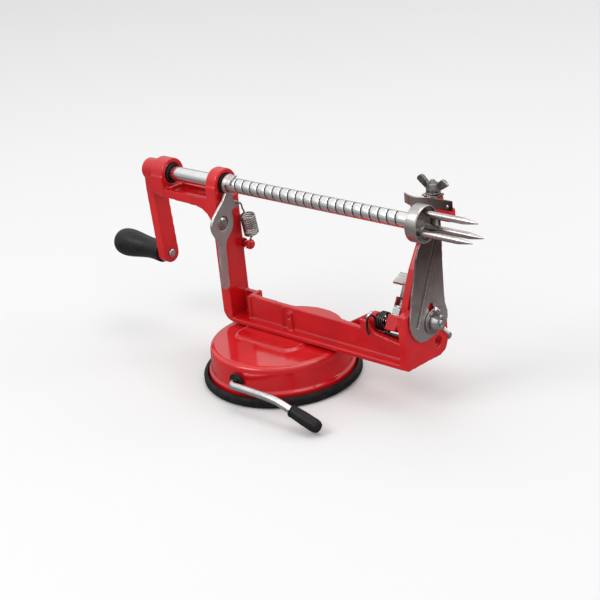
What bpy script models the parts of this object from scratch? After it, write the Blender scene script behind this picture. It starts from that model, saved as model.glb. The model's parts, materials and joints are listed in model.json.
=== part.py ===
"""Manual apple peeler, corer and slicer on a suction base.

Row frame: origin at the centre of the suction cup's underside, +X along the
feed screw towards the prongs, +Y away from the user, +Z up. All the numbers
below are millimetres; every mesh is written in metres.
"""
import bpy
import bmesh
from math import cos, sin, pi, radians, hypot, atan2, tan
from mathutils import Vector, Matrix
from mathutils.geometry import tessellate_polygon

MM = 0.001
GAP = 0.3                     # clearance between separate pieces

# ---- driving dimensions -----------------------------------------------------
SHAFT_Y, SHAFT_Z = 8.0, 120.0  # feed screw axis
SHAFT_R = 4.75
THREAD_DEPTH = 0.8
LEAD = 6.35                    # a quarter inch per turn
SHAFT_X0, SHAFT_X1 = -112.6, 107.7
THREAD_X0, THREAD_X1 = -34.0, 101.0

BASE_R = 51.5                  # rubber cup outside radius
DOME_R = 46.0
DOME_TOP = 25.0
PAD_TOP = 26.2

BED_Z0 = 26.5                  # underside of the casting
BED_Y0, BED_Y1 = -1.0, 17.0
WEB_Y0, WEB_Y1 = 6.0, 10.0
POST_X0, POST_X1 = -48.3, -40.3
RING_R = 9.9
BUSH_R = 6.5
BORE_R = BUSH_R + GAP
LEFT_RING = (-100.3, -89.4)
RIGHT_RING = (-49.6, -41.2)
END_X0, END_X1 = 98.0, 103.7   # end plate

CRANK_Y, CRANK_Z = 11.4, 58.7  # grip pin axis
CRANK_X0, CRANK_X1 = -112.0, -105.0
GRIP_END = -158.0

FORK_X0, FORK_X1 = 108.0, 113.5
FORK_R = 9.2
PRONG_R = 2.0
PRONG_PCR = 6.5
PRONG_TIP = 152.5

LEVER_X0, LEVER_X1 = -38.6, -36.6
LEVER_PY, LEVER_PZ = -2.9, 97.3     # release lever pivot

ARM_PY, ARM_PZ = 15.5, 47.0         # peeling arm pivot
ARM_LEAN = radians(30.0)            # the arm leans back
ARM_X0, ARM_X1 = 92.0, 97.3

SLICE_X0, SLICE_X1 = 104.0, 105.3
SLICE_BY, SLICE_BZ = 23.6, 50.8     # its bolt
CORE_X0, CORE_X1 = 109.5, 117.0
CORE_RO, CORE_RI = 11.3, 10.1

BLADE_Y = 39.5                      # front face of the peeling blade
STUD_X, STUD_Y = 95.6, 44.2        # its stud

SUCT_X, SUCT_Z = 4.0, 15.0          # suction lever axis, along Y
SUCT_ROD_R = 2.5

for old in list(bpy.data.objects):
    bpy.data.objects.remove(old, do_unlink=True)


# ---- materials --------------------------------------------------------------
def material(name, colour, rough, metal, coat=0.0):
    mat = bpy.data.materials.new(name)
    mat.use_nodes = True
    shader = mat.node_tree.nodes["Principled BSDF"]
    shader.inputs["Base Color"].default_value = (*colour, 1.0)
    shader.inputs["Roughness"].default_value = rough
    shader.inputs["Metallic"].default_value = metal
    shader.inputs["Coat Weight"].default_value = coat
    mat.diffuse_color = (*colour, 1.0)
    return mat


LOOKS = {
    "red": ((0.62, 0.012, 0.016), 0.22, 0.0, 0.6),
    "chrome": ((0.80, 0.80, 0.81), 0.12, 1.0, 0.0),
    "steel": ((0.56, 0.54, 0.53), 0.30, 1.0, 0.0),
    "spring": ((0.36, 0.34, 0.34), 0.28, 1.0, 0.0),
    "black": ((0.020, 0.020, 0.022), 0.42, 0.0, 0.0),
    "rubber": ((0.012, 0.012, 0.013), 0.62, 0.0, 0.0),
}


# ---- mesh tools -------------------------------------------------------------
def mesh_object(name, verts, faces):
    """One object from vertices in millimetres; faces are turned outwards."""
    seen, index, keep = {}, [], []
    for v in verts:
        key = tuple(round(c, 5) for c in v)
        if key not in seen:
            seen[key] = len(keep)
            keep.append(v)
        index.append(seen[key])
    out = []
    for f in faces:
        g = []
        for i in f:
            j = index[i]
            if not g or g[-1] != j:
                g.append(j)
        if len(g) > 1 and g[0] == g[-1]:
            g.pop()
        if len(set(g)) >= 3 and len(set(g)) == len(g):
            out.append(g)
    mesh = bpy.data.meshes.new(name)
    mesh.from_pydata([[c * MM for c in v] for v in keep], [], out)
    bm = bmesh.new()
    bm.from_mesh(mesh)
    bmesh.ops.recalc_face_normals(bm, faces=bm.faces)
    if bm.calc_volume(signed=True) < 0:
        bmesh.ops.reverse_faces(bm, faces=bm.faces)
    bm.to_mesh(mesh)
    bm.free()
    ob = bpy.data.objects.new(name, mesh)
    bpy.context.scene.collection.objects.link(ob)
    return ob


def place(axis, u, v, t):
    """A point with in-plane coordinates u, v at height t along the axis."""
    if axis == "X":
        return (t, u, v)
    if axis == "Y":
        return (u, t, v)
    return (u, v, t)


def circle(cu, cv, r, n=24, start=0.0):
    return [(cu + r * cos(start + 2 * pi * i / n), cv + r * sin(start + 2 * pi * i / n))
            for i in range(n)]


def arc(cu, cv, r, a0, a1, n):
    return [(cu + r * cos(radians(a0 + (a1 - a0) * i / n)),
             cv + r * sin(radians(a0 + (a1 - a0) * i / n))) for i in range(n + 1)]


def fillet(points, radius, n=4):
    """Round every corner of a closed outline."""
    out = []
    count = len(points)
    for i, p in enumerate(points):
        a = Vector(points[i - 1])
        b = Vector(p)
        c = Vector(points[(i + 1) % count])
        r = radius[i] if isinstance(radius, (list, tuple)) else radius
        d0, d1 = (a - b), (c - b)
        l0, l1 = d0.length, d1.length
        d0.normalize()
        d1.normalize()
        turn = d0.angle(d1)
        if r <= 0 or turn > radians(172):
            out.append((b.x, b.y))
            continue
        cut = min(r / tan(turn / 2), l0 * 0.48, l1 * 0.48)
        p0, p1 = b + d0 * cut, b + d1 * cut
        for k in range(n + 1):
            t = k / n
            q = p0 * (1 - t) ** 2 + b * 2 * t * (1 - t) + p1 * t ** 2
            out.append((q.x, q.y))
    return out


def smooth_loop(points, n=4):
    """A closed Catmull-Rom curve through the points."""
    out = []
    count = len(points)
    for i in range(count):
        p = [Vector(points[(i + k - 1) % count]) for k in range(4)]
        for k in range(n):
            t = k / n
            q = 0.5 * (2 * p[1] + (p[2] - p[0]) * t
                       + (2 * p[0] - 5 * p[1] + 4 * p[2] - p[3]) * t * t
                       + (3 * p[1] - p[0] - 3 * p[2] + p[3]) * t ** 3)
            out.append((q.x, q.y))
    return out


def prism(name, loops, axis, lo, hi):
    """An outline, with any inner loops as holes, extruded along an axis."""
    if not isinstance(loops[0][0], (list, tuple)):
        loops = [loops]
    flat = [p for loop in loops for p in loop]
    tris = tessellate_polygon([[Vector((p[0], p[1], 0)) for p in loop] for loop in loops])
    n = len(flat)
    verts = [place(axis, u, v, lo) for u, v in flat] + [place(axis, u, v, hi) for u, v in flat]
    faces = [list(t) for t in tris] + [[i + n for i in reversed(t)] for t in tris]
    base = 0
    for loop in loops:
        m = len(loop)
        for i in range(m):
            a, b = base + i, base + (i + 1) % m
            faces.append([a, b, b + n, a + n])
        base += m
    return mesh_object(name, verts, faces)


def box(name, x0, x1, y0, y1, z0, z1):
    return prism(name, [(x0, y0), (x1, y0), (x1, y1), (x0, y1)], "Z", z0, z1)


def rod(name, axis, cu, cv, r, lo, hi, n=24):
    return prism(name, circle(cu, cv, r, n), axis, lo, hi)


def lathe(name, profile, axis, cu, cv, n=32):
    """Turn a closed profile of (radius, height) points about an axis."""
    verts, faces = [], []
    m = len(profile)
    for i in range(n):
        a = 2 * pi * i / n
        for r, t in profile:
            verts.append(place(axis, cu + r * cos(a), cv + r * sin(a), t))
    for i in range(n):
        k = (i + 1) % n
        for j in range(m):
            l = (j + 1) % m
            if profile[j][0] <= 0 and profile[l][0] <= 0:
                continue
            faces.append([i * m + j, i * m + l, k * m + l, k * m + j])
    return mesh_object(name, verts, faces)


def sweep(name, path, r, n=8, radii=None):
    """A round tube along a path, with flat ends."""
    pts = [Vector(p) for p in path]
    tangents = []
    for i in range(len(pts)):
        a = pts[max(i - 1, 0)]
        b = pts[min(i + 1, len(pts) - 1)]
        tangents.append((b - a).normalized())
    side = tangents[0].orthogonal().normalized()
    verts, faces = [], []
    for i, p in enumerate(pts):
        t = tangents[i]
        side = (side - t * side.dot(t)).normalized()
        up = t.cross(side)
        rr = radii[i] if radii else r
        for k in range(n):
            a = 2 * pi * k / n
            verts.append(tuple(p + (side * cos(a) + up * sin(a)) * rr))
    for i in range(len(pts) - 1):
        for k in range(n):
            l = (k + 1) % n
            faces.append([i * n + k, i * n + l, (i + 1) * n + l, (i + 1) * n + k])
    faces.append(list(range(n)))
    faces.append([(len(pts) - 1) * n + k for k in range(n)])
    return mesh_object(name, verts, faces)


def oriented_box(name, centre, axes, half):
    """A box with its own axes: centre, three unit vectors, half sizes."""
    c = Vector(centre)
    ax = [Vector(a) for a in axes]
    verts = []
    for sx in (-1, 1):
        for sy in (-1, 1):
            for sz in (-1, 1):
                verts.append(tuple(c + ax[0] * sx * half[0] + ax[1] * sy * half[1]
                                   + ax[2] * sz * half[2]))
    faces = [[0, 1, 3, 2], [4, 6, 7, 5], [0, 4, 5, 1], [2, 3, 7, 6], [0, 2, 6, 4], [1, 5, 7, 3]]
    return mesh_object(name, verts, faces)


def combine(target, tools, operation):
    """Union or difference of solids, applied to the target's mesh."""
    for tool in tools:
        mod = target.modifiers.new("cut", "BOOLEAN")
        mod.operation = operation
        mod.solver = "EXACT"
        mod.object = tool
        bpy.context.view_layer.update()
        graph = bpy.context.evaluated_depsgraph_get()
        mesh = bpy.data.meshes.new_from_object(target.evaluated_get(graph))
        target.modifiers.remove(mod)
        old = target.data
        target.data = mesh
        bpy.data.meshes.remove(old)
        bpy.data.objects.remove(tool, do_unlink=True)
    bm = bmesh.new()
    bm.from_mesh(target.data)
    bmesh.ops.remove_doubles(bm, verts=bm.verts, dist=0.000002)
    bmesh.ops.dissolve_degenerate(bm, edges=bm.edges, dist=0.000002)
    bm.to_mesh(target.data)
    bm.free()
    return target


PIECES = []


def finish(ob, name, look, origin=None, round_angle=35.0):
    """Name the piece, give it its look, and put its origin on its axis."""
    ob.name = name
    ob.data.name = name
    ob.data.materials.clear()
    colour, rough, metal, coat = LOOKS[look]
    ob.data.materials.append(material(name + "_" + look, colour, rough, metal, coat))
    for poly in ob.data.polygons:
        poly.material_index = 0
    ob.data.shade_smooth()
    ob.data.set_sharp_from_angle(angle=radians(round_angle))
    if origin:
        shift = Vector([c * MM for c in origin])
        ob.data.transform(Matrix.Translation(-shift))
        ob.location = shift
    PIECES.append(ob)
    return ob


SHAFT = (0.0, SHAFT_Y, SHAFT_Z)

# ============================================================================
# The casting: bed bar, end plate, left post, upper arm and two shaft rings
# ============================================================================
corner = arc(POST_X1, BED_Z0 + 8.0, 8.0, 180, 270, 6)
post_outline = corner + [(POST_X1 + 0.4, BED_Z0), (POST_X1 + 0.4, BED_Z0 + 2.9),
                         (POST_X1, BED_Z0 + 3.4), (POST_X1, 111.0), (POST_X0, 111.0)]
frame = prism("frame", post_outline, "Y", BED_Y0, BED_Y1)
arm_under = [(-100.3, 111.0), (-100.3, 108.0), (-98.6, 106.3), (-94.0, 105.5), (-62.0, 104.3),
             (-56.5, 103.0), (-52.4, 100.2), (-49.6, 96.2), (-48.3, 91.0), (-46.0, 91.0),
             (-46.0, 111.0)]
parts = [
    prism("arm", arm_under, "Y", BED_Y0, BED_Y1),
    rod("ring_l", "X", SHAFT_Y, SHAFT_Z, RING_R, LEFT_RING[0], LEFT_RING[1], 40),
    rod("ring_r", "X", SHAFT_Y, SHAFT_Z, RING_R, RIGHT_RING[0], RIGHT_RING[1], 40),
    prism("cheek_l", [(-2.8, 120.0), (-2.6, 113.0), (-1.9, 108.6), (-1.0, 106.4), (17.0, 106.4),
                      (17.9, 108.6), (18.6, 113.0), (18.8, 120.0)], "X", *LEFT_RING),
    prism("cheek_r", [(-2.8, 120.0), (-2.7, 112.0), (-2.2, 104.5), (18.2, 104.5),
                      (18.7, 112.0), (18.8, 120.0)], "X", *RIGHT_RING),
    prism("cheek_p", [(-2.2, 104.9), (-1.0, 91.0), (17.0, 91.0), (18.2, 104.9)],
          "X", POST_X0 + 0.3, -41.2),
    box("flange", POST_X1 - 1.0, END_X0 + 1.0, BED_Y0, BED_Y1, BED_Z0, BED_Z0 + 2.9),
    prism("web", [(-31.0, 28.0), (-31.0, 45.2), (-24.0, 45.2), (-20.0, 44.6), (48.0, 44.0),
                  (61.5, 43.6), (75.0, 42.0), (91.0, 39.6), (99.0, 38.6), (99.0, 28.0)],
          "Y", WEB_Y0, WEB_Y1),
    box("corner_back", POST_X1 - 1.0, -30.0, 13.5, BED_Y1, BED_Z0 + 1.0, 44.0),
    prism("post_rib", [(-31.0, 28.0), (-28.4, 28.0), (-28.4, 45.0), (-31.0, 45.2)],
          "Y", 4.6, BED_Y1),
    prism("boss_back", [(1.0, 9.0)] + arc(25.5, -17.5, 34.0, 142, 38, 12) + [(50.0, 9.0)],
          "Z", BED_Z0 + 1.0, 44.0),
    prism("rib", [(3.2, 28.5), (7.8, 28.5), (7.4, 41.5), (3.6, 41.5)], "Y", 3.8, WEB_Y0 + 1.0),
    prism("end", fillet([(-1.0, BED_Z0 - 0.1), (20.6, 25.0), (31.5, 23.9), (37.6, 25.8),
                         (40.2, 31.0), (40.6, 50.5), (37.0, 58.5), (29.5, 65.4), (20.0, 65.4),
                         (13.0, 62.0), (-1.0, 62.0)],
                        [0.6, 0, 3, 3, 3, 3, 3, 3, 3, 3, 0.8]), "X", END_X0, END_X1),
    rod("lever_boss", "X", LEVER_PY, LEVER_PZ, 4.5, -43.3, POST_X1, 24),
    box("lever_root", -43.3, POST_X1, LEVER_PY, 2.0, LEVER_PZ - 4.5, LEVER_PZ + 4.5),
    prism("spring_lug", fillet([(14.0, 72.4), (18.8, 72.6), (21.0, 74.2), (21.0, 77.8),
                                (18.8, 79.4), (14.0, 79.6)], 1.2, 3), "X", -46.0, POST_X1),
    prism("arm_lug", [(10.6, 28.0), (20.0, 28.0)] + arc(ARM_PY, ARM_PZ, 4.8, 0, 180, 12),
          "X", 66.0, 70.0),
    prism("lug_gusset", [(47.0, 28.0), (47.0, 40.3), (61.5, 49.0), (62.6, 48.0), (62.6, 28.0)], "Y", 12.0, 17.0),
    box("back_wall", 64.0, END_X0 + 1.0, 13.0, BED_Y1, BED_Z0 + 1.0, 39.6),
    prism("slant_rib", [(63.0, 40.0), (63.0, 49.5), (67.0, 49.0), (76.5, 40.0)], "Y", 6.0, 8.4),
]
combine(frame, parts, "UNION")
cuts = [
    rod("c1", "X", SHAFT_Y, SHAFT_Z, BORE_R, -106.0, -39.0, 32),
    box("c2", -88.9, -50.6, 2.2, 13.8, 107.6, 114.0),
    rod("c3", "X", 30.2, 34.0, 3.6, END_X0 - 1, END_X1 + 1, 24),
    rod("c4", "X", SLICE_BY, SLICE_BZ, 2.9, END_X0 - 1, END_X1 + 1, 20),
    rod("c5", "X", SLICE_BY, SLICE_BZ, 4.6, END_X0 - 1, END_X0 + 3.0, 20),
    rod("c6", "X", ARM_PY, ARM_PZ, 2.8, 65.0, END_X0 + 3.3, 20),
    rod("c7", "X", LEVER_PY, LEVER_PZ, 2.3, -42.7, POST_X1 + 1, 16),
    rod("c8", "X", 17.8, 76.0, 2.3, -44.5, POST_X1 + 1, 16),
    rod("c9", "Z", -22.0, 13.6, 2.1, BED_Z0 - 1, BED_Z0 + 4, 16),
    rod("c10", "Z", -6.0, 13.6, 2.1, BED_Z0 - 1, BED_Z0 + 4, 16),
    rod("c11", "Y", 5.5, 37.8, 1.3, 3.0, 5.2, 12),
]
combine(frame, cuts, "DIFFERENCE")
finish(frame, "frame_casting", "red")

# ============================================================================
# Suction base
# ============================================================================
cup = lathe("cup", [(0, 0), (50.4, 0), (BASE_R, 1.6), (BASE_R, 4.6), (50.2, 6.4), (48.8, 6.0),
                    (48.2, 2.6), (8.6, 2.6), (8.0, 7.0), (0, 7.0)], "Z", 0, 0, 48)
finish(cup, "suction_cup", "rubber")

dome = lathe("dome", [(0, DOME_TOP), (42.6, DOME_TOP - 0.2), (44.6, DOME_TOP - 1.0),
                      (45.3, DOME_TOP - 2.8), (DOME_R, 9.2), (47.7, 8.0), (47.9, 2.9),
                      (46.2, 2.9), (46.2, 6.8), (44.4, 9.4), (43.4, DOME_TOP - 2.2),
                      (0, DOME_TOP - 1.6)], "Z", 0, 0, 48)
pad = prism("pad", fillet([(-29.0, -15.5), (22.0, -15.5), (22.0, 17.4), (-29.0, 17.4)], 9.0, 6),
            "Z", DOME_TOP - 0.8, PAD_TOP)
combine(dome, [pad], "UNION")
combine(dome, [rod("d1", "Y", SUCT_X, SUCT_Z, 4.3, -50.0, -38.0, 24),
               rod("d2", "Z", -22.0, 13.6, 2.1, 20.0, 30.0, 16),
               rod("d3", "Z", -6.0, 13.6, 2.1, 20.0, 30.0, 16)], "DIFFERENCE")
finish(dome, "base_dome", "red")

for i, x in enumerate((-22.0, -6.0)):
    top = BED_Z0 + 2.9 + GAP
    screw = lathe("screw", [(0, 20.4), (1.5, 20.4), (1.75, 20.9), (1.75, top), (2.9, top),
                            (2.8, top + 1.2), (2.0, top + 1.9), (0, top + 2.1)], "Z", x, 13.6, 16)
    finish(screw, "base_screw_%d" % (i + 1), "chrome")

bush = lathe("bush", [(2.85, -43.0), (4.0, -43.0), (4.0, -46.8), (5.2, -46.8), (5.2, -48.0),
                      (2.85, -48.0)], "Y", SUCT_X, SUCT_Z, 24)
finish(bush, "lever_bush", "black")

# the lever: a bent rod whose inner end is the axle of an eccentric
elbow = [(SUCT_X + 4.0 - 4.0 * cos(a), -48.8 - 4.0 * sin(a), SUCT_Z)
         for a in [radians(k) for k in (0, 22, 45, 67, 90)]]
rod_path = [(SUCT_X, 6.0, SUCT_Z), (SUCT_X, -20.0, SUCT_Z)] + elbow
rod_path += [(30.0, -52.8, 15.0), (40.0, -52.8, 14.6), (45.0, -52.8, 13.6), (49.0, -52.8, 12.5),
             (54.0, -52.8, 11.12), (67.0, -52.8, 7.36)]
lever = sweep("lever", [(x, y, z) for x, y, z in rod_path], SUCT_ROD_R, 12)
finish(lever, "suction_lever_rod", "chrome", (SUCT_X, 0, SUCT_Z))
cap_start, cap_end = Vector((54.0, -52.8, 11.12)), Vector((75.5, -52.8, 4.9))
cap_dir = (cap_end - cap_start).normalized()
turn = Vector((0, 1, 0))
up = cap_dir.cross(turn)
cap_profile = [(SUCT_ROD_R + GAP, 0.0), (3.6, 0.0), (4.1, 0.7), (4.2, 18.6), (3.8, 20.6),
               (2.6, 21.9), (0.0, 22.4), (0.0, 15.0), (SUCT_ROD_R + GAP, 14.6)]
verts, faces = [], []
m = len(cap_profile)
for i in range(20):
    a = 2 * pi * i / 20
    for r, t in cap_profile:
        verts.append(tuple(cap_start + cap_dir * t + (turn * cos(a) + up * sin(a)) * r))
for i in range(20):
    k = (i + 1) % 20
    for j in range(m):
        l = (j + 1) % m
        faces.append([i * m + j, i * m + l, k * m + l, k * m + j])
cap = mesh_object("cap", verts, faces)
finish(cap, "suction_lever_cap", "rubber", (SUCT_X, 0, SUCT_Z))

cam = prism("cam", [circle(SUCT_X, SUCT_Z - 1.2, 4.2, 24), circle(SUCT_X, SUCT_Z, 2.8, 20)],
            "Y", -2.5, 2.5)
finish(cam, "suction_cam", "steel", (SUCT_X, 0, SUCT_Z))

yoke = prism("yoke", [[(SUCT_X - 7.4, 7.4), (SUCT_X + 7.4, 7.4), (SUCT_X + 7.4, 20.2),
                       (SUCT_X - 7.4, 20.2)],
                      [(SUCT_X - 5.9, 9.0), (SUCT_X + 5.9, 9.0), (SUCT_X + 5.9, 18.7),
                       (SUCT_X - 5.9, 18.7)]], "Y", -3.5, 3.5)
finish(yoke, "suction_plunger", "steel")

# ============================================================================
# Feed screw with its helical groove, bushes, fork, crank and grip
# ============================================================================
def feed_screw():
    sides = 12
    # crest, groove edge, groove floor, groove edge: distance along one lead
    shape = [(0.0, 0.0), (1.0, 0.0), (1.9, 1.0), (2.8, 0.0)]
    per = len(shape)
    turns = int((THREAD_X1 - THREAD_X0) / LEAD) + 3
    columns = []
    for i in range(sides):
        a = 2 * pi * i / sides
        column = [(SHAFT_X0, 0.0), (SHAFT_X0, SHAFT_R - 0.8), (SHAFT_X0 + 0.8, SHAFT_R)]
        helix = []
        for k in range(-1, turns):
            for dx, depth in shape:
                x = THREAD_X0 + LEAD * (k + i / sides) + dx
                r = SHAFT_R - THREAD_DEPTH * depth
                if x <= THREAD_X0 or x >= THREAD_X1:
                    x = min(max(x, THREAD_X0), THREAD_X1)
                    r = SHAFT_R
                helix.append((x, r))
        tail = [(SHAFT_X1 - 0.3, SHAFT_R), (SHAFT_X1, SHAFT_R - 0.3), (SHAFT_X1, 0.0)]
        columns.append((a, column, helix, tail))
    verts, index = [], []
    for a, head, helix, tail in columns:
        rows = []
        for part in (head, helix, tail):
            ids = []
            for x, r in part:
                ids.append(len(verts))
                verts.append((x, SHAFT_Y + r * cos(a), SHAFT_Z + r * sin(a)))
            rows.append(ids)
        index.append(rows)
    faces = []
    for i in range(sides):
        here, there = index[i], index[(i + 1) % sides]
        shift = per if i == sides - 1 else 0
        for part in (0, 2):
            for j in range(len(here[part]) - 1):
                faces.append([here[part][j], here[part][j + 1], there[part][j + 1], there[part][j]])
        faces.append([here[0][-1], here[1][0], there[1][0], there[0][-1]])
        faces.append([here[1][-1], here[2][0], there[2][0], there[1][-1]])
        last = len(here[1]) - 1
        for j in range(last):
            p, q = min(j + shift, last), min(j + 1 + shift, last)
            faces.append([here[1][j], here[1][j + 1], there[1][q], there[1][p]])
    return mesh_object("screw", verts, faces)


screw = feed_screw()
finish(screw, "feed_screw", "chrome", SHAFT, 30.0)

for name, (x0, x1) in (("bush_left", LEFT_RING), ("bush_right", RIGHT_RING)):
    b = lathe(name, [(SHAFT_R + GAP, x0 + 0.3), (BUSH_R, x0 + 0.3), (BUSH_R, x1 + 0.9),
                     (SHAFT_R + GAP, x1 + 0.9)], "X", SHAFT_Y, SHAFT_Z, 32)
    finish(b, name, "black", SHAFT)

hub = lathe("hub", [(0, FORK_X0), (FORK_R - 0.6, FORK_X0), (FORK_R, FORK_X0 + 0.6),
                    (FORK_R, FORK_X1 - 0.6), (FORK_R - 0.6, FORK_X1), (0, FORK_X1)],
            "X", SHAFT_Y, SHAFT_Z, 32)
PRONG_ANGLES = (85.0, -37.0, 208.0)
holes, prongs = [], []
for i, ang in enumerate(PRONG_ANGLES):
    py = SHAFT_Y + PRONG_PCR * cos(radians(ang))
    pz = SHAFT_Z + PRONG_PCR * sin(radians(ang))
    holes.append(rod("h", "X", py, pz, PRONG_R + GAP, FORK_X0 + 1.5, FORK_X1 + 1.0, 16))
    prongs.append(lathe("p", [(0, FORK_X0 + 1.8), (PRONG_R, FORK_X0 + 1.8), (PRONG_R, 143.0),
                              (1.55, 145.5), (0.55, 150.8), (0, PRONG_TIP)], "X", py, pz, 16))
combine(hub, holes, "DIFFERENCE")
finish(hub, "fork_hub", "steel", SHAFT)
for i, p in enumerate(prongs):
    finish(p, "prong_%d" % (i + 1), "chrome", SHAFT)

# crank arm in the plane of the hub, hanging down to the grip pin
d = Vector((CRANK_Y - SHAFT_Y, CRANK_Z - SHAFT_Z)).normalized()
n2 = Vector((-d.y, d.x))
hubc, pinc = Vector((SHAFT_Y, SHAFT_Z)), Vector((CRANK_Y, CRANK_Z))
a0 = atan2(d.y, d.x)
outline = [(hubc.x + 7.3 * cos(a0 + radians(t)), hubc.y + 7.3 * sin(a0 + radians(t)))
           for t in range(52, 309, 16)]
low = [(pinc.x + 6.6 * cos(a0 + radians(t)), pinc.y + 6.6 * sin(a0 + radians(t)))
       for t in range(-80, 81, 16)]
outline += [tuple(hubc + d * 13.0 - n2 * 6.3)] + low + [tuple(hubc + d * 13.0 + n2 * 6.3)]
crank = prism("crank", outline, "X", CRANK_X0, CRANK_X1)
combine(crank, [rod("k1", "X", SHAFT_Y, SHAFT_Z, 7.2, -106.0, LEFT_RING[0] - 0.4, 32)], "UNION")
combine(crank, [rod("k3", "X", SHAFT_Y, SHAFT_Z, SHAFT_R + GAP, -115.0, -100.0, 24),
                rod("k4", "X", CRANK_Y, CRANK_Z, 2.8, -113.0, -104.0, 20),
                rod("k5", "Y", -108.5, SHAFT_Z, 1.9, SHAFT_Y + 4.0, SHAFT_Y + 9.0, 14)],
        "DIFFERENCE")
finish(crank, "crank_arm", "red", SHAFT)
grub = lathe("grub", [(0, SHAFT_Y + 5.35), (1.2, SHAFT_Y + 5.35), (1.6, SHAFT_Y + 5.8),
                      (1.6, SHAFT_Y + 8.3), (0.8, SHAFT_Y + 8.3), (0.8, SHAFT_Y + 7.2),
                      (0, SHAFT_Y + 7.2)], "Y", -108.5, SHAFT_Z, 14)
finish(grub, "crank_grub_screw", "steel", SHAFT)
pin = lathe("pin", [(0, -104.0), (1.6, -104.1), (2.9, -104.7), (2.5, -104.7), (2.5, -151.4),
                    (2.1, -152.0), (0, -152.0)], "X", CRANK_Y, CRANK_Z, 20)
finish(pin, "handle_pin", "chrome", (0, CRANK_Y, CRANK_Z))
GRIP = [(2.8, -112.4), (7.4, -112.4), (7.8, -113.6), (7.5, -116.6), (7.15, -121.0), (7.2, -126.0),
        (7.7, -131.5), (8.6, -137.5), (9.35, -143.0), (9.7, -147.5), (9.4, -151.6), (8.3, -154.8),
        (6.2, -157.0), (3.2, -157.9), (0, GRIP_END), (0, -152.6), (2.8, -152.4)]
grip = lathe("grip", GRIP, "X", CRANK_Y, CRANK_Z, 24)
finish(grip, "handle_grip", "black", (0, CRANK_Y, CRANK_Z))

# ============================================================================
# Thread release: lever with a half-nut jaw, pivot, spring and its peg
# ============================================================================
lever_out = smooth_loop([
    (3.6, 116.4), (0.2, 112.2), (-5.2, 107.6), (-10.4, 103.0), (-12.8, 98.5), (-12.2, 93.4),
    (-9.4, 88.0), (-8.4, 82.0), (-8.8, 73.0), (-9.4, 60.0), (-9.6, 55.6), (-8.3, 53.2),
    (-5.4, 52.8), (-3.5, 54.4), (-3.3, 60.0), (-2.9, 72.0), (-2.7, 80.0), (-0.8, 85.6),
    (3.6, 89.4), (6.3, 94.0), (6.4, 99.0), (6.2, 103.0), (9.0, 103.9), (12.6, 103.6),
    (13.8, 105.8), (12.2, 107.8), (8.4, 109.6), (8.6, 112.0), (9.8, 115.0)], 2)
lever = prism("rl", [lever_out, circle(LEVER_PY, LEVER_PZ, 4.75, 24), circle(12.0, 105.8, 0.9, 10)],
              "X", LEVER_X0, LEVER_X1)


def shaft_arc(r0, r1, a0, a1, step=8):
    """A band of a ring round the feed screw, between two angles."""
    out = [(SHAFT_Y + r1 * cos(radians(t)), SHAFT_Z + r1 * sin(radians(t)))
           for t in range(a0, a1 + 1, step)]
    return out + [(SHAFT_Y + r0 * cos(radians(t)), SHAFT_Z + r0 * sin(radians(t)))
                  for t in range(a1, a0 - 1, -step)]


combine(lever, [prism("hook", shaft_arc(4.9, 6.7, 70, 238), "X", LEVER_X0, LEVER_X1),
                prism("nut", shaft_arc(4.9, 6.5, 70, 166), "X", LEVER_X0 + 0.3, -32.4)], "UNION")
# the feed screw's path as the lever swings away from it, with clearance
clear = []
for k in range(7):
    a = -radians(3.0 * k)
    dy, dz = SHAFT_Y - LEVER_PY, SHAFT_Z - LEVER_PZ
    clear.append(rod("lc", "X", LEVER_PY + dy * cos(a) - dz * sin(a),
                     LEVER_PZ + dy * sin(a) + dz * cos(a), 5.1, -40.0 - 0.1 * k, -30.0 + 0.1 * k, 32))
combine(lever, clear, "DIFFERENCE")
finish(lever, "release_lever", "steel", (0, LEVER_PY, LEVER_PZ))
pivot = lathe("pv", [(0, -42.4), (2.0, -42.4), (2.0, -40.0), (4.4, -40.0), (4.4, -37.2),
                     (3.6, -36.4), (1.8, -36.1), (0, -36.0)], "X", LEVER_PY, LEVER_PZ, 24)
finish(pivot, "release_pivot_screw", "steel")
peg = lathe("pg", [(0, -44.2), (2.0, -44.2), (2.0, -35.6), (3.3, -35.6), (3.3, -33.6),
                   (2.6, -33.0), (0, -33.0)], "X", 17.8, 76.0, 20)
finish(peg, "spring_anchor", "red")


def coil(p0, p1, radius, turns, steps, start=0.0):
    """Points of a helix from p0 to p1."""
    a, b = Vector(p0), Vector(p1)
    w = (b - a).normalized()
    u = w.orthogonal().normalized()
    v = w.cross(u)
    n = int(turns * steps)
    return [tuple(a + (b - a) * (i / n) + (u * cos(start + 2 * pi * i / steps)
                                         + v * sin(start + 2 * pi * i / steps)) * radius)
            for i in range(n + 1)]


SPRING_X = -34.6
top, bottom = Vector((SPRING_X, 17.4, 96.6)), Vector((SPRING_X, 19.6, 83.4))
body = coil(top, bottom, 4.6, 9, 9)
hook_top = [(-35.4, 11.0, 107.4), (-34.9, 12.0, 107.0), (SPRING_X, 13.2, 105.2),
            (SPRING_X, 13.7, 102.4), (SPRING_X, 14.8, 99.4)]
hook_low = [(SPRING_X, 20.0, 81.8), (-36.4, 20.6, 80.0), (-37.4, 20.9, 77.8), (-37.6, 20.4, 75.0),
            (-37.6, 18.6, 73.1), (-37.6, 16.3, 73.4)]
spring = sweep("spring", hook_top + body + hook_low, 0.48, 5)
finish(spring, "release_spring", "spring")

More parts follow.
